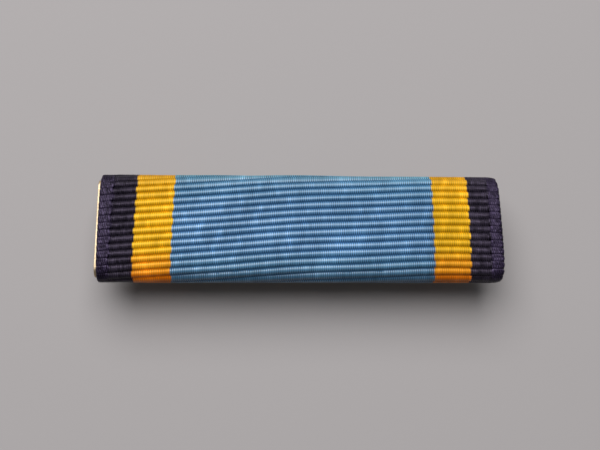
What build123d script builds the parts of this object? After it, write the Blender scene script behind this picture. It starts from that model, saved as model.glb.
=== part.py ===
from build123d import *
import os

# A service ribbon bar: a striped ribbon wrapped on a brass channel plate, which slides
# onto the rail of a brass holder with a hinged needle and a roller safety catch.
# Millimetres. +X runs along the bar, +Y to its upper long edge, +Z out of the ribbon's face.
# The origin is on the surface that the bar lies on, under the bar's centre.

# Driving dimensions
RIBBON_WIDTH = 34.925  # 1 3/8 in, the ribbon's selvedge-to-selvedge width, along X
BAR_WIDTH = 9.525  # 3/8 in, across the ribbon's two folds, along Y
RIBBON_THICK = 0.45  # grosgrain, measured over its ribs
SHEET = 0.3  # brass sheet of the plate, rail and brackets
CHANNEL_GAP = 1.0  # inside height of the channel plate
END_SHIFT = 0.1  # ribbon sits this far to +X of centre, and its plate as far to -X
HARDWARE_DEPTH = 2.5  # from the resting surface to the holder's base strip
BASE_THICK = 0.4
SLIDE_GAP = 0.1  # between the base strip and the ribbon's back
HOLDER_LENGTH = 33.0
BASE_WIDTH = 7.0

# Ribbon and channel plate
FLANGE_Y = 2.45  # centre of the flanges' rounded inner edges
TAIL_Y = 3.45  # where the ribbon's tucked tails end
LEFT_CORNER_R = 0.3  # the ribbon's corners seen from the front
RIGHT_CORNER_R = 0.9

# Slide rail
TROUGH_Y = 1.5  # middle of the rail's side walls
RAIL_EDGE_Y = 3.3
RAIL_BEND_R = 0.3

# Rivets, two through each bracket
RIVET_R = 0.5
RIVET_HEAD_R = 0.8
RIVET_HEAD = 0.3

# Needle and hinge
HINGE_X = -12.0
NEEDLE_Z = 1.1
EYE_R = 0.95
EYE_WIDTH = 1.6
EYE_SIDE_GAP = 0.05
HINGE_PIN_R = 0.4
HINGE_CLEARANCE = 0.03
HINGE_HEAD_R = 0.65
HINGE_HEAD = 0.25
EAR_THICK = 0.35
EAR_LENGTH = 2.2
EAR_CORNER_R = 0.4
ROOT_R = 0.6
ROOT_END_X = -9.0
NEEDLE_R = 0.35
NEEDLE_END_X = 8.0
SLIM_R = 0.28
SLIM_START_X = 9.5
SLIM_END_X = 13.4
TIP_X = 15.0
TIP_R = 0.04

# Catch
CATCH_X = 12.0
BRACKET_LENGTH = 5.8
BRACKET_Y = 1.2
RIVET_STEP = 2.0  # from a bracket's middle to each of its rivets
RING_REACH = 1.05  # from the catch's middle to its rings' outer faces
WINDOW = 0.8  # gap between the rings, where the lever turns
RING_CORNER_R = 0.45
ROLLER_R = 0.72
ROLLER_CLEARANCE = 0.05
ROLLER_BORE_R = 0.36
SLOT = 0.7
HOUSING_SLOT = 0.74
COLLAR_R = 1.0
COLLAR_WIDTH = 0.7
LEVER_REACH = 2.2
LEVER_THICK = 0.5

# Levels above the resting surface
foot_z = HARDWARE_DEPTH - SHEET
base_top = HARDWARE_DEPTH + BASE_THICK
ribbon_back = base_top + SLIDE_GAP
flange_back = ribbon_back + RIBBON_THICK
flange_inside = flange_back + SHEET
web_inside = flange_inside + CHANNEL_GAP
web_front = web_inside + SHEET
ribbon_front = web_front + RIBBON_THICK
unit_mid = (ribbon_back + ribbon_front) / 2
flange_mid = (flange_back + flange_inside) / 2
trough_mid = base_top + SHEET / 2
rail_mid = flange_inside + RIBBON_THICK + SLIDE_GAP + SHEET / 2

tail_mid = flange_inside + RIBBON_THICK / 2
fold_y = (BAR_WIDTH - (ribbon_front - ribbon_back)) / 2
dome_r = (RIVET_HEAD_R**2 + RIVET_HEAD**2) / (2 * RIVET_HEAD)
rivet_places = [
    middle + side * RIVET_STEP for middle in (HINGE_X, CATCH_X) for side in (-1, 1)
]


def save(part, name):
    part.label = name
    export_step(part, f"parts/{name}.step")


os.makedirs("parts", exist_ok=True)

# Ribbon: wrapped round the plate's long edges, its tails tucked in over the flanges
with BuildPart() as ribbon:
    with BuildSketch(Plane.YZ.offset(END_SHIFT)):
        with BuildLine():
            tail = Line((TAIL_Y, tail_mid), (FLANGE_Y, tail_mid))
            turn = CenterArc((FLANGE_Y, flange_mid), tail_mid - flange_mid, 90, 180)
            back = Line(turn @ 1, (fold_y, ribbon_back + RIBBON_THICK / 2))
            fold = CenterArc((fold_y, unit_mid), unit_mid - (back @ 1).Y, -90, 180)
            Line(fold @ 1, (0, (fold @ 1).Y))
            mirror(about=Plane.YZ)
            offset(amount=RIBBON_THICK / 2, side=Side.BOTH)
        make_face()
    extrude(amount=RIBBON_WIDTH / 2, both=True)
    with BuildSketch() as outline:
        with Locations((END_SHIFT, 0)):
            Rectangle(RIBBON_WIDTH, BAR_WIDTH)
        corners = outline.vertices().group_by(Axis.X)
        fillet(corners[-1], RIGHT_CORNER_R)
        fillet(outline.vertices().group_by(Axis.X)[0], LEFT_CORNER_R)
    extrude(amount=ribbon_front, mode=Mode.INTERSECT)
save(ribbon.part, "ribbon")

# Front plate: a channel with rounded long edges and in-turned flanges
with BuildPart() as front_plate:
    with BuildSketch(Plane.YZ.offset(-END_SHIFT)):
        with BuildLine():
            flange = Line((FLANGE_Y, flange_mid), (fold_y, flange_mid))
            fold = CenterArc((fold_y, unit_mid), unit_mid - flange_mid, -90, 180)
            Line(fold @ 1, (0, (fold @ 1).Y))
            mirror(about=Plane.YZ)
            offset(amount=SHEET / 2, side=Side.BOTH)
        make_face()
    extrude(amount=RIBBON_WIDTH / 2, both=True)
save(front_plate.part, "front_plate")

# Slide rail: a hat section whose raised edges run inside the channel
with BuildPart() as slide_rail:
    with BuildSketch(Plane.YZ):
        with BuildLine():
            FilletPolyline(
                (-RAIL_EDGE_Y, rail_mid),
                (-TROUGH_Y, rail_mid),
                (-TROUGH_Y, trough_mid),
                (TROUGH_Y, trough_mid),
                (TROUGH_Y, rail_mid),
                (RAIL_EDGE_Y, rail_mid),
                radius=RAIL_BEND_R,
            )
            offset(amount=SHEET / 2, side=Side.BOTH)
        make_face()
    extrude(amount=HOLDER_LENGTH / 2, both=True)
    with Locations([(x, 0, base_top) for x in rivet_places]):
        Hole(RIVET_R)
save(slide_rail.part, "slide_rail")

# Base strip
with BuildPart() as base_strip:
    with BuildSketch(Plane.XY.offset(HARDWARE_DEPTH)):
        RectangleRounded(HOLDER_LENGTH, BASE_WIDTH, BASE_WIDTH / 6)
        with Locations([(x, 0) for x in rivet_places]):
            Circle(RIVET_R, mode=Mode.SUBTRACT)
    extrude(amount=BASE_THICK)
save(base_strip.part, "base_strip")

# Rivets: domed at both ends, through bracket, base strip and rail
with BuildPart() as rivets:
    for x in rivet_places:
        with BuildSketch(Plane.XZ):
            with BuildLine():
                low = foot_z - RIVET_HEAD
                high = base_top + SHEET + RIVET_HEAD
                RadiusArc((x, low), (x + RIVET_HEAD_R, foot_z), -dome_r)
                Polyline(
                    (x + RIVET_HEAD_R, foot_z),
                    (x + RIVET_R, foot_z),
                    (x + RIVET_R, base_top + SHEET),
                    (x + RIVET_HEAD_R, base_top + SHEET),
                )
                RadiusArc((x + RIVET_HEAD_R, base_top + SHEET), (x, high), -dome_r)
                Line((x, high), (x, low))
            make_face()
        revolve(axis=Axis((x, 0, 0), (0, 0, 1)))
save(rivets.part, "rivets")

# Hinge bracket: a riveted foot with two ears
ear_inside = EYE_WIDTH / 2 + EYE_SIDE_GAP
with BuildPart() as hinge_bracket:
    with BuildSketch(Plane.XY.offset(foot_z)):
        with Locations((HINGE_X, 0)):
            RectangleRounded(BRACKET_LENGTH, 2 * BRACKET_Y, BRACKET_Y / 2)
    extrude(amount=SHEET)
    for side in (-1, 1):
        with BuildSketch(Plane.XZ.offset(-side * ear_inside)) as ear:
            with Locations((HINGE_X, 0)):
                Rectangle(EAR_LENGTH, foot_z, align=(Align.CENTER, Align.MIN))
            fillet(ear.vertices().group_by(Axis.Z)[0], EAR_CORNER_R)
        extrude(amount=-side * EAR_THICK)
    with BuildSketch(Plane.XZ):
        with Locations((HINGE_X, NEEDLE_Z)):
            Circle(HINGE_PIN_R)
    extrude(amount=BRACKET_Y, both=True, mode=Mode.SUBTRACT)
    with BuildSketch(Plane.XY.offset(foot_z)):
        with Locations([(HINGE_X + side * RIVET_STEP, 0) for side in (-1, 1)]):
            Circle(RIVET_R)
    extrude(amount=SHEET, mode=Mode.SUBTRACT)
save(hinge_bracket.part, "hinge_bracket")

# Hinge rivet: the needle's axle, headed outside the ears
with BuildPart() as hinge_rivet:
    with BuildSketch(Plane.XZ):
        with Locations((HINGE_X, NEEDLE_Z)):
            Circle(HINGE_PIN_R)
    extrude(amount=BRACKET_Y, both=True)
    for side in (-1, 1):
        with BuildSketch(Plane.XZ.offset(-side * BRACKET_Y)):
            with Locations((HINGE_X, NEEDLE_Z)):
                Circle(HINGE_HEAD_R)
        extrude(amount=-side * HINGE_HEAD, taper=30)
save(hinge_rivet.part, "hinge_rivet")

# Needle: an eye on the hinge rivet, a shank that slims towards the catch, and a point
with BuildPart() as pin_stem:
    with BuildSketch(Plane.XZ):
        with Locations((HINGE_X, NEEDLE_Z)):
            Circle(EYE_R)
    extrude(amount=EYE_WIDTH / 2, both=True)
    with BuildSketch(Plane.XZ):
        with BuildLine():
            Polyline(
                (HINGE_X, NEEDLE_Z),
                (HINGE_X, NEEDLE_Z + ROOT_R),
                (ROOT_END_X, NEEDLE_Z + NEEDLE_R),
                (NEEDLE_END_X, NEEDLE_Z + NEEDLE_R),
                (SLIM_START_X, NEEDLE_Z + SLIM_R),
                (SLIM_END_X, NEEDLE_Z + SLIM_R),
                (TIP_X, NEEDLE_Z + TIP_R),
                (TIP_X, NEEDLE_Z),
                close=True,
            )
        make_face()
    revolve(axis=Axis((HINGE_X, 0, NEEDLE_Z), (1, 0, 0)))
    with BuildSketch(Plane.XZ):
        with Locations((HINGE_X, NEEDLE_Z)):
            Circle(HINGE_PIN_R + HINGE_CLEARANCE)
    extrude(amount=EYE_WIDTH, both=True, mode=Mode.SUBTRACT)
save(pin_stem.part, "pin_stem")

# Catch housing: two rings under a riveted foot, open at the bottom for the needle
with BuildPart() as catch_housing:
    with BuildSketch(Plane.XY.offset(foot_z)):
        with Locations((CATCH_X, 0)):
            RectangleRounded(BRACKET_LENGTH, 2 * BRACKET_Y, BRACKET_Y / 2)
    extrude(amount=SHEET)
    ring_width = RING_REACH - WINDOW / 2
    for start in (CATCH_X - RING_REACH, CATCH_X + WINDOW / 2):
        with BuildSketch(Plane.YZ.offset(start)) as ring:
            Rectangle(2 * BRACKET_Y, foot_z, align=(Align.CENTER, Align.MIN))
            fillet(ring.vertices().group_by(Axis.Z)[0], RING_CORNER_R)
            with Locations((0, NEEDLE_Z)):
                Circle(ROLLER_R + ROLLER_CLEARANCE, mode=Mode.SUBTRACT)
            Rectangle(
                HOUSING_SLOT,
                NEEDLE_Z,
                align=(Align.CENTER, Align.MIN),
                mode=Mode.SUBTRACT,
            )
        extrude(amount=ring_width)
    with BuildSketch(Plane.XY.offset(foot_z)):
        with Locations([(CATCH_X + side * RIVET_STEP, 0) for side in (-1, 1)]):
            Circle(RIVET_R)
    extrude(amount=SHEET, mode=Mode.SUBTRACT)
save(catch_housing.part, "catch_housing")

# Catch roller: a split tube with a collar and a thumb lever between the rings
with BuildPart() as catch_roller:
    with BuildSketch(Plane.YZ.offset(CATCH_X)):
        with Locations((0, NEEDLE_Z)):
            Circle(ROLLER_R)
    extrude(amount=RING_REACH, both=True)
    with BuildSketch(Plane.YZ.offset(CATCH_X)):
        with Locations((0, NEEDLE_Z)):
            Circle(COLLAR_R)
            SlotCenterPoint(
                ((LEVER_REACH - LEVER_THICK / 2) / 2, 0),
                (LEVER_REACH - LEVER_THICK / 2, 0),
                LEVER_THICK,
            )
    extrude(amount=COLLAR_WIDTH / 2, both=True)
    with BuildSketch(Plane.YZ.offset(CATCH_X)):
        with Locations((0, NEEDLE_Z)):
            Circle(ROLLER_BORE_R)
            Rectangle(SLOT, COLLAR_R, align=(Align.CENTER, Align.MAX))
    extrude(amount=RING_REACH, both=True, mode=Mode.SUBTRACT)
save(catch_roller.part, "catch_roller")
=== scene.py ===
import math

import bpy
import numpy as np
from mathutils import Matrix, Vector


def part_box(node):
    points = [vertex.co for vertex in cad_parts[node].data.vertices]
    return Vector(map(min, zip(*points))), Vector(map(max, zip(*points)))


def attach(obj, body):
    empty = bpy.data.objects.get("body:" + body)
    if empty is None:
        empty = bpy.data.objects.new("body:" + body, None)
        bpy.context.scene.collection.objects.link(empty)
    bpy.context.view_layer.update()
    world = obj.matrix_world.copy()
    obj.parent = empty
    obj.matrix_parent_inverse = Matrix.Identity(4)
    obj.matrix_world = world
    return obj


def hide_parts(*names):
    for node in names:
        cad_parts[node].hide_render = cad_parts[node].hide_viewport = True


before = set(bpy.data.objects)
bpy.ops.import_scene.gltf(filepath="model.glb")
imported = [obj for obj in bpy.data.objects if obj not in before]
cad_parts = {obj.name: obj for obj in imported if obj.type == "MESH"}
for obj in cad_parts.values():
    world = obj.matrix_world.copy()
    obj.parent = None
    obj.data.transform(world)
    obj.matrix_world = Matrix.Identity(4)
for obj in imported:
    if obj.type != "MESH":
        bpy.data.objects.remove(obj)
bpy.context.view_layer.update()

MM = 0.001
TAU = 2 * math.pi

# The ribbon's place, from the CAD model
ribbon_low, ribbon_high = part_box("ribbon")
plate_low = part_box("front_plate")[0]
CLOTH = plate_low.z - ribbon_low.z  # thickness over the ribs
WIDTH = ribbon_high.x - ribbon_low.x  # selvedge to selvedge
MIDDLE_X = (ribbon_high.x + ribbon_low.x) / 2
FOLD_R = (ribbon_high.z - ribbon_low.z - CLOTH) / 2  # of the folds at the long edges
FOLD_Y = ribbon_high.y - CLOTH / 2 - FOLD_R  # centres of those folds, either side of the middle
FOLD_REACH = 1.5 * MM  # how far in from the long edges the face starts to turn down
PLATE_SHEET = 0.3 * MM
FLANGE_Y = 2.45 * MM  # middle of the plate's flange edges, which the cloth turns round
TAIL_Y = 3.45 * MM  # ends of the tucked tails

# Ribs
SEED = 11
RIB_PITCH = 0.618 * MM
RIB_HEIGHT = 0.25 * MM
RIB_ROUNDNESS = 0.7  # 0.5 is a half ellipse and 1 a parabola
RIB_PHASE = 0.35  # rib coordinate at the middle of the face
RIB_RISE = 1.34 * MM  # from where a rib is steepest to where it is level
RIB_STEEPEST_X = -12.1 * MM
RIB_LEVEL_X = 14.3 * MM
RIB_WAVE = 0.033 * MM  # height of a slight wave on top of that
RIB_WAVE_LENGTH = 13.4 * MM
RIB_WAVE_X = -4.9 * MM
RIB_WANDER = 0.03  # how far ribs stray at random, as a share of the pitch
RIB_UNEVENNESS = 0.06  # how unlike their heights are
SLOW = 0.45  # spread of the waves in both of those, in radians per millimetre
SQUARE_TAIL = 3 * MM  # from each tail's end, over which the ribs straighten
FRONT_STEPS = (0.0, 0.06, 0.15, 0.28, 0.42, 0.58, 0.72, 0.85, 0.94)  # rows of vertices in a rib
BACK_STEPS = (0.0, 0.12, 0.35, 0.65, 0.88)
FRONT_MARGIN = 0.2 * MM  # how far past the folds the front's rows go

# Threads
THREADS = 188  # that show on each rib; the next rib shows the ones between
THREAD_HEIGHT = 0.018 * MM
THREAD_SIZES = (0.55, 1.25)  # range of their heights, as shares
THREAD_REACH = 0.08 * MM  # how far a thread runs past the valley, between its neighbours
REACH_SHARE = 0.42  # of a rib, over which the threads part before the valley
CREST_CLOSED = 0.65  # how far the threads spread over a crest and close their gaps
FOLD_CLOSED = 0.6  # how far the valleys fill where the ribbon is pulled round the long edges
FOLD_CLOSED_BY = 0.4  # how far the cloth has turned where they are that full

# Selvedges and ends
BLEND = 0.1 * MM  # over which one weave or dye gives way to the next
SELVEDGE = 1.12 * MM
SELVEDGE_JOG = 0.07 * MM  # how far its inner edge jogs either way, from rib to rib
SELVEDGE_LEVEL = 0.6  # its height, as a share of a rib's
SELVEDGE_RELIEF = 0.2  # height of its own finer ribs, in the same shares
EDGE_ROUND = 0.2 * MM  # rounding of both selvedges
CORNER_R = 0.8 * MM  # rounding of the folds at the right end
CORNER_DROP = 0.35  # how deep that goes, as a share of a full quarter circle
SCALLOPS = (0.03 * MM, 0.2 * MM)  # how far the ribs stand out at the left and right selvedges
RIGHT_LEAN = 0.1 * MM  # how far the right selvedge is drawn in at the upper edge
STRIPE_LEAN = 0.08 * MM  # how far the left stripes lean, at either long edge
STRIPE_LEAN_REACH = 8 * MM  # from the middle to where that is full

# Fit on the plate
CROWN = 0.16 * MM  # how far the face bellies
SLACK = 0.11 * MM  # how far the cloth stands off the plate's upper edge
SLACK_LOST = 0.6  # share of that slack that is gone at the right end
SLACK_BY = 0.6  # how far the cloth has turned where the slack is full
THINNEST = 0.08 * MM  # cloth left between its face and its back

# Widths of the stripes as shares of the ribbon, left to right
STRIPES = (
    ("navy", 0.0880),
    ("gold", 0.0928),
    ("blue", 0.6457),
    ("gold", 0.0890),
    ("navy", 0.0845),
)
DYES = {  # linear colours
    "navy": (0.026, 0.0205, 0.034),
    "selvedge": (0.0205, 0.0140, 0.0325),
    "gold": (0.82, 0.435, 0.010),
    "blue": (0.084, 0.232, 0.428),
}
VALLEY_SHADE = {  # painted shade: what is left of the dye's colour in valleys and between threads
    "navy": (0.60, 0.60, 0.60),
    "selvedge": (0.60, 0.60, 0.65),
    "gold": (0.84, 0.92, 0.40),
    "blue": (0.18, 0.38, 0.54),
}
FOLD_LIGHT_AND_SHADE = {  # painted light and shade: what the dye is multiplied by in the folds, and on the face next to them
    "lower_fold": {
        "navy": (0.62, 0.62, 0.62),
        "selvedge": (0.60, 0.60, 0.60),
        "gold": (0.90, 0.52, 0.10),
        "blue": (0.605, 0.645, 0.66),
    },
    "upper_fold": {
        "navy": (0.85, 0.85, 0.85),
        "selvedge": (0.85, 0.85, 0.85),
        "gold": (0.73, 0.66, 0.60),
        "blue": (1.18, 1.12, 0.86),
    },
    "near_lower": {
        "navy": (0.9, 0.9, 0.9),
        "selvedge": (0.95, 0.95, 0.95),
        "gold": (0.98, 0.71, 0.95),
        "blue": (0.86, 0.93, 0.87),
    },
    "near_upper": {
        "navy": (0.95, 0.95, 0.95),
        "selvedge": (0.95, 0.95, 0.95),
        "gold": (0.98, 0.94, 1.00),
        "blue": (0.96, 1.05, 0.97),
    },
}
GAPS = {  # how strongly threads and the gaps between them differ: painted light on threads, painted shade in gaps, gloss and bump
    "navy": (1.2, 1.2, 1.2),
    "selvedge": (1.0, 1.0, 1.0),
    "gold": (0.6, 0.6, 0.6),
    "blue": (1.2, 1.2, 1.2),
}
GLOSSES = {  # colours of the sheen
    "navy": (0.18, 0.15, 0.20),
    "selvedge": (0.22, 0.18, 0.28),
    "gold": (0.90, 0.65, 0.20),
    "blue": (1.05, 1.06, 1.05),
}

# Where that painted light and shade sets in and where it is full. In the folds: how far the cloth
# has turned from level, which is 0, to upright, which is 1
LOWER_FOLD = (0.03, 0.22)
UPPER_FOLD = (0.02, 0.40)
# Next to them: how far from the middle of the face, which is 0, to a fold's centre, which is 1
NEAR_LOWER = (0.54, 0.96)
NEAR_UPPER = (0.45, 0.95)
NEAR_UPPER_MIDDLE = 0.45  # share of that painted light and shade in the middle of the bar
NEAR_UPPER_REACH = 14 * MM  # from the middle to where it is full

# Tone, which lightens or darkens both dye and gloss: at random, and with painted sheen, glints,
# light and shade
TONE = 0.98
SHEEN_PATCHES = (0.09, 0.08)  # painted sheen in broad patches: strength, and what the bright parts add with their square
GLINTS = (0.05, 0.08)  # painted glints: the same
TONE_LIMITS = (0.3, 2)
SILK_THREADS = 0.06  # how unlike the threads are outside the selvedges
NAVY_THREADS = (0.2, 0.35)  # added to that in navy: whole threads, and flecks on them
SELVEDGE_THREADS = (0.3, 0.35)  # and in the selvedges: half threads, and flecks on them
RIGHT_SHADE = 0.08  # painted shade: how much darker gold and blue are at the right
RIGHT_SHADE_REACH = 12 * MM  # from the middle to where that is full
RIGHT_NAVY = 0.2  # how much lighter the right navy stripe is
LEFT_SHADING = 0.09  # painted light and shade: how much darker the left is towards the upper edge, and lighter at the lower
LEFT_SHADING_REACH = 10 * MM  # from the middle to where that is full
LEFT_SHADING_SLOPE = 1.6  # how steeply it changes from the lower edge to the upper
LOWER_FOLD_SHADE = 0.14  # painted shade: how much darker the lower fold is
THREAD_SHADES = (1.35, 0.25)  # painted light and shade: tone of the dye on a thread and in a gap
THREAD_SHEENS = (1.3, 0.4)  # and of the gloss
RIB_SHEENS = (1.05, 0.5)  # gloss on a crest and in a valley
VALLEY_RELIEF = (0.1, 0.9)  # relief between which a valley becomes a crest
GAP_SHADE = 0.8  # how much of a valley's painted shade a gap has
SILK_ROUGHNESS = 0.46
FIBRES = (4.0 * THREADS, 1.5)  # noise cells across the ribbon, and to each rib
FIBRE_DEPTH = 0.01 * MM
THREAD_DEPTH = 0.03 * MM
BUMP = 0.5  # strength of both

# Metal
GRAIN_ALONG = (700.0, 14000.0, 14000.0)  # brush marks per metre in x, y and z
GRAIN_EVEN = (6000.0, 6000.0, 6000.0)  # the same, alike in all directions
GRAIN_NOISE = (0.3, 0.7)  # range of the marks that the roughness follows
GRAIN_ROUGHNESS = (-0.08, 0.14)  # what those two add to a metal's roughness
GRAIN_DEPTH = 0.01 * MM
FILM_SCALE = 420.0  # patches of dull film per metre
FILM_NOISE = (0.42, 0.68)  # range of the noise in which the film sets in
FILM_COVER = 0.75  # where it is densest
EDGE_BEVEL = 0.06 * MM  # radius that sharp edges are shaded with

# Camera, lights and floor
CAMERA_TILT = 14.0  # from the face's normal
CAMERA_SIDE = 8.0  # towards the left end
CAMERA_ROLL = 7.96
CAMERA_DISTANCE = 70.1 * MM
CAMERA_AIM = Vector((-0.02, 0.06, 5.5)) * MM
CAMERA_LENS = 48.8
ROOM_COLOUR = (0.9, 0.95, 1.0)
ROOM_LIGHT = 0.12
FLOOR_SIZE = 0.9
FLOOR_COLOUR = (0.33, 0.31, 0.31)


def linear(value, low, high):
    return np.clip((value - low) / (high - low), 0, 1)


def smooth(t):
    t = np.clip(t, 0, 1)
    return t * t * (3 - 2 * t)


# ---------------------------------------------------------------- node helpers


def new_material(name):
    material = bpy.data.materials.new(name)
    material.use_nodes = True
    tree = material.node_tree
    shader = tree.nodes["Principled BSDF"]
    return material, tree, shader


def node(tree, kind, inputs=(), **settings):
    made = tree.nodes.new(kind)
    for key, value in settings.items():
        setattr(made, key, value)
    for socket, value in dict(inputs).items():
        if isinstance(value, bpy.types.NodeSocket):
            tree.links.new(value, made.inputs[socket])
        else:
            made.inputs[socket].default_value = value
    return made


def math_node(tree, operation, *values):
    return node(tree, "ShaderNodeMath", dict(enumerate(values)), operation=operation).outputs[0]


def attribute(tree, name):
    return node(tree, "ShaderNodeAttribute", attribute_name=name).outputs["Fac"]


def map_range(tree, value, low, high, to_low, to_high):
    inputs = {0: value, 1: low, 2: high, 3: to_low, 4: to_high}
    return node(tree, "ShaderNodeMapRange", inputs).outputs[0]


def grey(tree, value):
    return node(tree, "ShaderNodeCombineColor", {0: value, 1: value, 2: value}).outputs[0]


def mix(tree, blend, factor, a, b):
    made = node(tree, "ShaderNodeMix", data_type="RGBA", blend_type=blend)
    for socket, value in ((0, factor), (6, a), (7, b)):
        if isinstance(value, bpy.types.NodeSocket):
            tree.links.new(value, made.inputs[socket])
        elif socket:
            made.inputs[socket].default_value = (*value, 1.0)
        else:
            made.inputs[socket].default_value = value
    return made.outputs[2]


def bump(tree, height, strength, depth, normal=None):
    inputs = {"Height": height, "Strength": strength, "Distance": depth}
    if normal:
        inputs["Normal"] = normal
    return node(tree, "ShaderNodeBump", inputs).outputs["Normal"]


# ---------------------------------------------------------------- ribbon


def wrap_path():
    """Middle of the cloth round the plate: lengths, y and z, and outward normals, tail to tail."""
    middle_z = (ribbon_low.z + ribbon_high.z) / 2
    turn_r = (PLATE_SHEET + CLOTH) / 2
    flange_z = plate_low.z + PLATE_SHEET / 2

    def line(a, b):
        t = np.linspace(0, 1, 60)[:, None]
        return np.array(a) * (1 - t) + np.array(b) * t

    def arc(y, z, reach, r, start, end):
        a = np.radians(np.linspace(start, end, 200))
        return np.column_stack([y + reach * np.cos(a), z + r * np.sin(a)])

    face_y = FOLD_Y + FOLD_R - FOLD_REACH
    half = np.vstack(
        [
            line((TAIL_Y, flange_z + turn_r), (FLANGE_Y, flange_z + turn_r)),
            arc(FLANGE_Y, flange_z, turn_r, turn_r, 90, 270),
            line((FLANGE_Y, flange_z - turn_r), (FOLD_Y, flange_z - turn_r)),
            arc(FOLD_Y, middle_z, FOLD_R, FOLD_R, -90, 0),
            arc(face_y, middle_z, FOLD_REACH, FOLD_R, 0, 90),
            line((face_y, middle_z + FOLD_R), (0, middle_z + FOLD_R)),
        ]
    )
    path = np.vstack([half, half[::-1] * (-1, 1)])
    path = path[np.r_[True, np.linalg.norm(np.diff(path, axis=0), axis=1) > 1e-9]]
    length = np.r_[0, np.cumsum(np.linalg.norm(np.diff(path, axis=0), axis=1))]
    along = np.gradient(path, length, axis=0)
    normal = np.column_stack([along[:, 1], -along[:, 0]])
    normal /= np.linalg.norm(normal, axis=1)[:, None]
    return length, path, normal


def rib_rows(total):
    """Rib coordinate of each row of vertices, denser across the front and the folds."""
    front_reach = FOLD_Y + math.pi * FOLD_R + FRONT_MARGIN
    first = math.ceil(-total / 2 / RIB_PITCH + RIB_PHASE)
    last = math.floor(total / 2 / RIB_PITCH + RIB_PHASE)
    rows = []
    for rib in range(first, last):
        middle = (rib + 0.5 - RIB_PHASE) * RIB_PITCH
        steps = FRONT_STEPS if abs(middle) < front_reach else BACK_STEPS
        rows += [rib + step for step in steps]
    return np.array(rows + [float(last)])


def rib_climb(x):
    """How far a rib has climbed at x, from the middle of the bar: a bend and a slight wave."""

    def bend(at):
        return np.sin(math.pi / 2 * (at - RIB_STEEPEST_X) / (RIB_LEVEL_X - RIB_STEEPEST_X))

    climb = RIB_RISE * (bend(np.minimum(x, RIB_LEVEL_X)) - bend(0))
    return climb + RIB_WAVE * np.sin(TAU * (x - RIB_WAVE_X) / RIB_WAVE_LENGTH)


def rib_profile(step):
    """Height over a rib, from 0 in the valleys to 1 on the crest."""
    return np.clip(1 - (2 * step - 1) ** 2, 0, 1) ** RIB_ROUNDNESS


def waves(rng, count, rib_spread, mm_spread):
    """A smooth random function of ribs and millimetres; the spreads set how fast it varies."""
    parts = [
        (rng.normal(0, rib_spread), rng.normal(0, mm_spread), rng.uniform(0, TAU))
        for _ in range(count)
    ]

    def value(ribs, x_mm):
        return sum(np.sin(a * ribs * 2 + b * x_mm + c) for a, b, c in parts) / math.sqrt(count)

    return value


def rib_lines(rng, ribs, xs, total):
    """Place along the wrap, and where ribs may climb: 1, or 0 at the ends of the tails."""
    s = (ribs - RIB_PHASE) * RIB_PITCH
    inside = smooth((total / 2 - np.abs(s)) / SQUARE_TAIL)
    wander = waves(rng, count=5, rib_spread=0.5, mm_spread=SLOW)(ribs, xs / MM)
    s = s - (rib_climb(xs) - wander * RIB_WANDER * RIB_PITCH) * inside
    s = np.clip(total / 2 + s, 0, total)
    s[0], s[-1] = 0, total
    return s, inside


def lay_threads(ribs, from_edge):
    """How much the weave is the selvedge's, and the threads on top: 1, or -1 for those below."""
    number = np.floor(ribs).astype(int)
    border_edge = SELVEDGE + SELVEDGE_JOG * (1 - 2 * (number % 2))
    border = smooth((border_edge - from_edge) / BLEND)
    crossing = np.where(border > 0.5, np.floor(2 * ribs).astype(int), number)
    column = np.arange(ribs.shape[1])[None, :]
    return border, 1 - 2 * ((column + crossing) % 2)


def zigzag(step, on_top):
    """How far a thread runs past a valley, as those of one rib end between those of the next."""
    after = np.maximum(1 - step / REACH_SHARE, 0)
    before = np.maximum(1 - (1 - step) / REACH_SHARE, 0)
    return THREAD_REACH * on_top * (after - before)


def cloth_height(rng, ribs, xs, relief, on_top, turned):
    """Height over the floor of the valleys: uneven ribs that fill at the folds, and threads."""
    uneven = 1 + RIB_UNEVENNESS * waves(rng, count=6, rib_spread=1.1, mm_spread=SLOW)(ribs, xs / MM)
    thread_size = rng.uniform(*THREAD_SIZES, (1, xs.shape[1]))
    filled = FOLD_CLOSED * smooth(turned / FOLD_CLOSED_BY)
    ribbed = RIB_HEIGHT * (relief + (1 - relief) * filled) * uneven
    return ribbed + THREAD_HEIGHT * on_top * thread_size


def varied(values, strength, extra):
    """Random values, with the bright parts raised further."""
    return strength * values + extra * np.maximum(values, 0) ** 2


def thread_tone(rng, ribs, xs, border, navy):
    """Tone of the silk: broad patches of painted sheen, small painted glints, unlike threads,
    woolly navy and selvedges.
    """
    patches = waves(rng, count=16, rib_spread=0.22, mm_spread=1.4)(ribs, xs / MM)
    glints = waves(rng, count=14, rib_spread=1.0, mm_spread=4.0)(ribs, xs / MM)
    first, last = math.floor(ribs.min()), math.floor(ribs.max())
    each = rng.normal(0, 1, (2 * (last + 1 - first), xs.shape[1]))
    column = np.arange(xs.shape[1])[None, :]
    whole = each[2 * (np.floor(ribs).astype(int) - first), column]
    halves = each[np.floor(2 * (ribs - first)).astype(int), column]
    fleck = rng.normal(0, 1, ribs.shape)
    tone = TONE + varied(patches, *SHEEN_PATCHES) + varied(glints, *GLINTS)
    in_navy = NAVY_THREADS[0] * whole + NAVY_THREADS[1] * fleck
    tone = tone + (SILK_THREADS * whole + in_navy * navy) * (1 - border)
    in_border = SELVEDGE_THREADS[0] * halves + SELVEDGE_THREADS[1] * fleck
    return np.clip(tone + in_border * border, *TONE_LIMITS)


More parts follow.
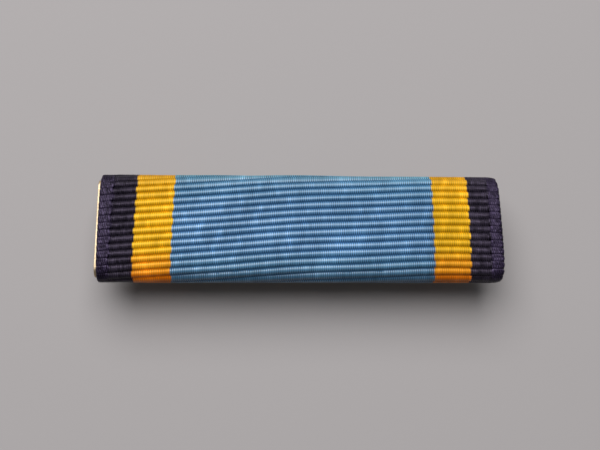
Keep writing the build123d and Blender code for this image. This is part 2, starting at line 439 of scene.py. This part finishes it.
def broad_shading(xs, height_share, navy, lower_fold):
    """Painted light and shade that differ from left to right and from the lower long edge to the
    upper, painted shade on the lower fold, and a lighter right navy stripe.
    """
    right = RIGHT_SHADE * smooth(xs / RIGHT_SHADE_REACH) * (1 - navy)
    left = LEFT_SHADING * np.clip(LEFT_SHADING_SLOPE * height_share, -1, 1)
    left = left * smooth(-xs / LEFT_SHADING_REACH)
    tone = (1 - right) * (1 + RIGHT_NAVY * navy * (xs > 0))
    return tone * (1 - left * (1 - lower_fold)) * (1 - LOWER_FOLD_SHADE * lower_fold)


def painted_fold_masks(xs, height_share, turned):
    """How much of the painted light and shade of each part of FOLD_LIGHT_AND_SHADE a vertex takes.
    """
    to_ends = smooth(np.abs(xs) / NEAR_UPPER_REACH)
    to_ends = NEAR_UPPER_MIDDLE + (1 - NEAR_UPPER_MIDDLE) * to_ends
    return {
        "lower_fold": linear(turned, *LOWER_FOLD) * (height_share < 0),
        "upper_fold": linear(turned, *UPPER_FOLD) * (height_share > 0),
        "near_lower": smooth(linear(-height_share, *NEAR_LOWER)),
        "near_upper": smooth(linear(height_share, *NEAR_UPPER)) * to_ends,
    }


def sideways(xs, height_share, rib, turned, from_edge):
    """Scalloped selvedges, a right selvedge that leans, and left stripes that lean."""
    near_end = smooth(1 - from_edge / SELVEDGE)
    scallop = np.where(xs > 0, SCALLOPS[1], -SCALLOPS[0]) * (rib - 0.5) * (1 - smooth(turned))
    drawn_in = RIGHT_LEAN * smooth((height_share + 1) / 2) * (xs > 0)
    leaning = STRIPE_LEAN * np.clip(height_share, -1, 1) * smooth(-xs / STRIPE_LEAN_REACH)
    return (scallop - drawn_in) * near_end + leaning * (1 - near_end)


def stand_off(xs, height_share, height, turned, ny, nz, from_edge):
    """How far the cloth's face lies outside the middle of the cloth."""
    rounding = np.clip(1 - from_edge / EDGE_ROUND, 0, 1)
    edge_drop = EDGE_ROUND * (1 - np.sqrt(1 - rounding**2))
    right = np.clip(1 - (WIDTH / 2 - xs) / CORNER_R, 0, 1)
    corner_drop = CORNER_DROP * CORNER_R * (1 - np.sqrt(1 - right**2)) * np.abs(ny) ** 2
    belly = CROWN * np.clip(1 - height_share**2, 0, 1) * (nz > 0.5)
    slack = SLACK * (1 - SLACK_LOST * smooth(2 * xs / WIDTH))
    belly = belly + slack * smooth(turned / SLACK_BY) * (ny > 0)
    out = CLOTH / 2 - RIB_HEIGHT + height - edge_drop - corner_drop + belly
    return np.maximum(out, THINNEST - CLOTH / 2)


def weave():
    """The ribbon's face: positions, and what its material needs to know at each vertex."""
    rng = np.random.default_rng(SEED)
    length, path, normal = wrap_path()
    x = np.linspace(0, WIDTH, 2 * THREADS + 1) - WIDTH / 2
    ribs, xs = np.meshgrid(rib_rows(length[-1]), x, indexing="ij")
    from_edge = WIDTH / 2 - np.abs(xs)
    step = ribs - np.floor(ribs)
    s, inside = rib_lines(rng, ribs, xs, length[-1])
    border, on_top = lay_threads(ribs, from_edge)
    s = s - zigzag(step, on_top) * inside * (1 - border)

    # round ribs, and a flatter selvedge with finer ones
    rib = rib_profile(step)
    border_rib = SELVEDGE_LEVEL + SELVEDGE_RELIEF * rib_profile(2 * step % 1)
    relief = rib * (1 - border) + border_rib * border
    # how far the cloth has turned: 0 where it lies level, 1 where it is upright or faces down
    turned = np.clip(1 - np.interp(s, length, normal[:, 1]), 0, 1)
    height = cloth_height(rng, ribs, xs, relief, on_top, turned)

    y = np.interp(s, length, path[:, 0])
    z = np.interp(s, length, path[:, 1])
    ny = np.interp(s, length, normal[:, 0])
    nz = np.interp(s, length, normal[:, 1])
    scale = np.hypot(ny, nz)
    ny, nz = ny / scale, nz / scale
    height_share = y / FOLD_Y  # -1 and 1 at the centres of the folds
    moved = MIDDLE_X + xs + sideways(xs, height_share, rib, turned, from_edge)
    out = stand_off(xs, height_share, height, turned, ny, nz, from_edge)
    position = np.stack([moved, y + ny * out, z + nz * out], axis=-1)
    back = np.stack([y - ny * CLOTH / 2, z - nz * CLOTH / 2], axis=-1)[:, 0]

    navy_width = np.where(xs < 0, STRIPES[0][1], STRIPES[-1][1]) * WIDTH
    navy = smooth((navy_width - from_edge) / BLEND)
    tone = thread_tone(rng, ribs, xs, border, navy)
    # masks for the painted light and shade in the folds and on the face next to them
    dye_and_shade = painted_fold_masks(xs, height_share, turned)
    jog = 0.5 / THREADS * (np.floor(ribs) % 2 - 0.5)
    facts = {
        "across": (xs + WIDTH / 2) / WIDTH + jog,
        "rib": ribs,
        "relief": relief,
        # threads on top take painted light, the gaps between them painted shade
        "gap": -on_top * (1 - CREST_CLOSED * rib**8 * (1 - border)),
        # random tone, painted sheen and glints, and broad painted light and shade
        "tone": tone * broad_shading(xs, height_share, navy, dye_and_shade["lower_fold"]),
        **dye_and_shade,
    }
    return position, back, facts


def ribbon_mesh():
    position, back, facts = weave()
    rows, columns = position.shape[:2]
    index = np.arange(rows * columns).reshape(rows, columns)
    front = np.stack([index[:-1, :-1], index[:-1, 1:], index[1:, 1:], index[1:, :-1]], axis=-1)
    faces = front.reshape(-1, 4).tolist()

    # the back of the cloth is plain, ruled from selvedge to selvedge
    left = rows * columns + np.arange(rows)
    right = left + rows
    inner = [
        np.column_stack([np.full(rows, x), back]) for x in (ribbon_low.x, ribbon_high.x)
    ]
    for i in range(rows - 1):
        faces.append([left[i], left[i + 1], right[i + 1], right[i]])
        faces.append([left[i], index[i, 0], index[i + 1, 0], left[i + 1]])
        faces.append([right[i], right[i + 1], index[i + 1, -1], index[i, -1]])
    faces.append([left[0], right[0], *index[0, ::-1]])
    faces.append([right[-1], left[-1], *index[-1]])

    vertices = np.vstack([position.reshape(-1, 3), *inner])
    mesh = bpy.data.meshes.new("ribbon_cloth")
    mesh.from_pydata(vertices.tolist(), [], [[int(v) for v in face] for face in faces])
    mesh.validate()
    for name, values in facts.items():
        sides = np.concatenate([values[:, 0], values[:, -1]])
        layer = mesh.attributes.new(name, "FLOAT", "POINT")
        layer.data.foreach_set("value", np.r_[values.ravel(), sides].astype(np.float32))
    mesh.shade_smooth()
    mesh.set_sharp_from_angle(angle=math.radians(75))
    mesh.update()
    return mesh


def stripe_stops(colours):
    """Colour ramp stops for the stripes, with the selvedge at both ends."""
    edge = SELVEDGE / WIDTH
    stops = [(0.0, colours["selvedge"]), (edge, colours["navy"])]
    place = 0.0
    for (_, share), (following, _) in zip(STRIPES, STRIPES[1:]):
        place += share
        stops.append((place, colours[following]))
    return stops + [(1 - edge, colours["selvedge"])]


def by_stripe(tree, across, colours):
    """The colour for the stripe at this place across the ribbon."""
    made = node(tree, "ShaderNodeValToRGB", {"Fac": across})
    made.color_ramp.interpolation = "CONSTANT"
    stops = stripe_stops(colours)
    elements = made.color_ramp.elements
    while len(elements) < len(stops):
        elements.new(1.0)
    for element, (place, colour) in zip(elements, stops):
        element.position = place
        element.color = (*colour, 1.0)
    return made.outputs["Color"]


def ribbon_material():
    material, tree, shader = new_material("ribbed_silk")
    across = attribute(tree, "across")
    # tone carries random tone and painted sheen, glints, light and shade
    tone = attribute(tree, "tone")
    gap = math_node(tree, "MULTIPLY", by_stripe(tree, across, GAPS), attribute(tree, "gap"))

    # painted shade: valleys and the gaps between threads get a darker, deeper dye, standing in for
    # light that bounces about in a valley and takes up more of the dye
    in_valley = map_range(tree, attribute(tree, "relief"), *VALLEY_RELIEF, 1.0, 0.0)
    in_gap = map_range(tree, gap, 0.0, 1.0, 0.0, GAP_SHADE)
    depth = math_node(tree, "MAXIMUM", in_valley, in_gap)
    dye_and_shade = by_stripe(tree, across, DYES)
    dye_and_shade = mix(tree, "MULTIPLY", depth, dye_and_shade, by_stripe(tree, across, VALLEY_SHADE))
    # painted light and shade in the folds and on the face next to them
    for name, colours in FOLD_LIGHT_AND_SHADE.items():
        dye_and_shade = mix(tree, "MULTIPLY", attribute(tree, name), dye_and_shade, by_stripe(tree, across, colours))
    # painted light on the threads and painted shade in the gaps between them
    shade = math_node(tree, "MULTIPLY", tone, map_range(tree, gap, -1.0, 1.0, *THREAD_SHADES))
    dye_and_shade = mix(tree, "MULTIPLY", 1.0, dye_and_shade, grey(tree, shade))
    tree.links.new(dye_and_shade, shader.inputs["Base Color"])

    sheen = math_node(tree, "MULTIPLY", tone, map_range(tree, gap, -1.0, 1.0, *THREAD_SHEENS))
    rib_sheen = map_range(tree, in_valley, 0.0, 1.0, *RIB_SHEENS)
    sheen = math_node(tree, "MULTIPLY", sheen, rib_sheen)
    gloss = mix(tree, "MULTIPLY", 1.0, by_stripe(tree, across, GLOSSES), grey(tree, sheen))
    tree.links.new(gloss, shader.inputs["Specular Tint"])
    shader.inputs["Roughness"].default_value = SILK_ROUGHNESS
    shader.inputs["Specular IOR Level"].default_value = 1.0

    # fibres of each thread, finer than the mesh
    fibre_x = math_node(tree, "MULTIPLY", across, FIBRES[0])
    fibre_y = math_node(tree, "MULTIPLY", attribute(tree, "rib"), FIBRES[1])
    place = node(tree, "ShaderNodeCombineXYZ", {0: fibre_x, 1: fibre_y}).outputs[0]
    fibre = node(tree, "ShaderNodeTexNoise", {"Vector": place, "Scale": 1.0, "Detail": 2.0})
    fibrous = bump(tree, fibre.outputs["Fac"], BUMP, FIBRE_DEPTH)
    round_thread = math_node(tree, "MULTIPLY", gap, -0.5)
    threaded = bump(tree, round_thread, BUMP, THREAD_DEPTH, fibrous)
    tree.links.new(threaded, shader.inputs["Normal"])
    return material


def make_ribbon():
    ribbon = bpy.data.objects.new("ribbon_cloth", ribbon_mesh())
    bpy.context.scene.collection.objects.link(ribbon)
    ribbon.data.materials.append(ribbon_material())
    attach(ribbon, "ribbon_unit")
    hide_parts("ribbon")
    length = wrap_path()[0][-1]


# ---------------------------------------------------------------- metal


def metal(name, colour, dull, roughness, stretch, relief):
    """Brushed metal, with a dull film in patches and rounded edges."""
    material, tree, shader = new_material(name)
    place = node(tree, "ShaderNodeTexCoord").outputs["Object"]
    grain_place = node(tree, "ShaderNodeMapping", {"Vector": place, "Scale": stretch}).outputs[0]
    grain = node(tree, "ShaderNodeTexNoise", {"Vector": grain_place, "Scale": 1.0, "Detail": 4.0})
    film_inputs = {"Vector": place, "Scale": FILM_SCALE, "Detail": 5.0}
    film = node(tree, "ShaderNodeTexNoise", film_inputs)
    amount = map_range(tree, film.outputs["Fac"], *FILM_NOISE, 0.0, FILM_COVER)
    tree.links.new(mix(tree, "MIX", amount, colour, dull), shader.inputs["Base Color"])
    shader.inputs["Metallic"].default_value = 1.0
    marks = grain.outputs["Fac"]
    rougher = [roughness + change for change in GRAIN_ROUGHNESS]
    rough = map_range(tree, marks, *GRAIN_NOISE, *rougher)
    tree.links.new(rough, shader.inputs["Roughness"])
    round_edge = node(tree, "ShaderNodeBevel", {"Radius": EDGE_BEVEL}, samples=6)
    brushed = bump(tree, marks, relief, GRAIN_DEPTH, round_edge.outputs[0])
    tree.links.new(brushed, shader.inputs["Normal"])
    return material


def dress_metal():
    plate = metal("plate_brass", (0.58, 0.46, 0.31), (0.44, 0.33, 0.20), 0.5, GRAIN_ALONG, 0.25)
    holder = metal("holder_brass", (0.82, 0.62, 0.33), (0.55, 0.37, 0.18), 0.34, GRAIN_ALONG, 0.25)
    fitting = metal("fitting_brass", (0.85, 0.66, 0.37), (0.55, 0.38, 0.19), 0.26, GRAIN_EVEN, 0.06)
    rivet = metal("rivet_brass", (0.88, 0.70, 0.42), (0.58, 0.41, 0.22), 0.22, GRAIN_EVEN, 0.06)
    steel = metal("needle_steel", (0.72, 0.72, 0.73), (0.5, 0.49, 0.47), 0.2, GRAIN_ALONG, 0.15)
    finishes = {
        "front_plate": plate,
        "slide_rail": holder,
        "base_strip": holder,
        "hinge_bracket": fitting,
        "catch_housing": fitting,
        "catch_roller": fitting,
        "rivets": rivet,
        "hinge_rivet": rivet,
        "pin_stem": steel,
    }
    for name, material in finishes.items():
        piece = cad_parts[name]
        for slot in piece.material_slots:
            slot.material = material


# ---------------------------------------------------------------- studio


def make_floor():
    half = FLOOR_SIZE / 2
    mesh = bpy.data.meshes.new("floor")
    corners = [(-half, -half, 0), (half, -half, 0), (half, half, 0), (-half, half, 0)]
    mesh.from_pydata(corners, [], [(0, 1, 2, 3)])
    floor = bpy.data.objects.new("floor", mesh)
    bpy.context.scene.collection.objects.link(floor)
    material, tree, shader = new_material("pale_floor")
    shader.inputs["Base Color"].default_value = (*FLOOR_COLOUR, 1.0)
    shader.inputs["Roughness"].default_value = 0.9
    shader.inputs["Specular IOR Level"].default_value = 0.2
    mesh.materials.append(material)


def area_light(name, azimuth, elevation, distance, size, power):
    """An area light that looks at the bar. Azimuth 0 is on the -Y side and 90 on the +X side."""
    light = bpy.data.lights.new(name, "AREA")
    light.shape = "DISK"
    light.size = size
    light.energy = power
    lamp = bpy.data.objects.new(name, light)
    bpy.context.scene.collection.objects.link(lamp)
    a, e = math.radians(azimuth), math.radians(elevation)
    towards = Vector((math.sin(a) * math.cos(e), -math.cos(a) * math.cos(e), math.sin(e)))
    lamp.location = CAMERA_AIM + towards * distance
    lamp.rotation_mode = "QUATERNION"
    lamp.rotation_quaternion = towards.to_track_quat("Z", "Y")


def make_lights():
    area_light("window", azimuth=197, elevation=62, distance=0.4, size=0.45, power=2.75)
    world = bpy.data.worlds.new("soft_room")
    world.use_nodes = True
    background = world.node_tree.nodes["Background"]
    background.inputs["Color"].default_value = (*ROOM_COLOUR, 1.0)
    background.inputs["Strength"].default_value = ROOM_LIGHT
    bpy.context.scene.world = world


def make_camera():
    camera = bpy.data.cameras.new("camera")
    camera.lens = CAMERA_LENS
    camera.sensor_width = 36.0
    camera.clip_start = 1 * MM
    camera.clip_end = 10.0
    holder = bpy.data.objects.new("camera", camera)
    bpy.context.scene.collection.objects.link(holder)
    tilt, side = math.radians(90 - CAMERA_TILT), math.radians(CAMERA_SIDE)
    back = Vector(
        (-math.sin(side) * math.cos(tilt), -math.cos(side) * math.cos(tilt), math.sin(tilt))
    )
    right = (-back).cross(Vector((0, 0, 1))).normalized()
    up = right.cross(-back)
    roll = math.radians(CAMERA_ROLL)
    turned_right = right * math.cos(roll) + up * math.sin(roll)
    turned_up = up * math.cos(roll) - right * math.sin(roll)
    turn = Matrix((turned_right, turned_up, back)).transposed()
    holder.matrix_world = Matrix.Translation(CAMERA_AIM + back * CAMERA_DISTANCE) @ turn.to_4x4()
    bpy.context.scene.camera = holder


make_camera()
make_lights()
make_floor()
make_ribbon()
dress_metal()
bpy.context.scene.view_settings.view_transform = "Standard"
